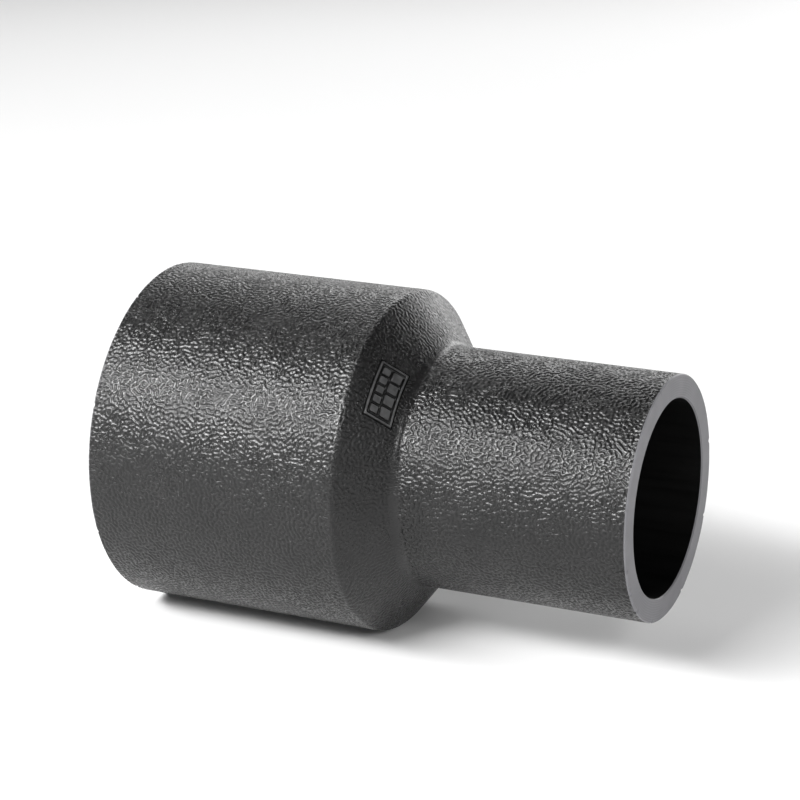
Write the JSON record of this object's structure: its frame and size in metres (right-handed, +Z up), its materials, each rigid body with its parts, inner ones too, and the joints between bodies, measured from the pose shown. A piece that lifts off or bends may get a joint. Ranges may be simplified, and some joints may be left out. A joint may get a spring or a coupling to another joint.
{
  "type": "concentric reducer",
  "caption": "Black polyethylene butt-fusion pipe reducer with plain spigot ends, joining a 90 mm pipe to a 63 mm pipe.",
  "frame": {"origin": "on the surface that the reducer lies on, under its axis and halfway along its length", "axes": "+X along the axis of the bore from the large spigot to the small one, +Z up, -Y towards the side with the marking plate"},
  "size_m": [0.142, 0.09, 0.09],
  "materials": {
    "grained_polyethylene": "black polyethylene with a fine worm-like moulded grain outside, smooth in the bore and planed on the two end faces",
    "smooth_polyethylene": "the same black polyethylene, moulded against a smooth insert, so a little paler"
  },
  "bodies": {
    "root": {"reducer_body": "grained_polyethylene", "marking_plate": "smooth_polyethylene"}
  },
  "joints": []
}
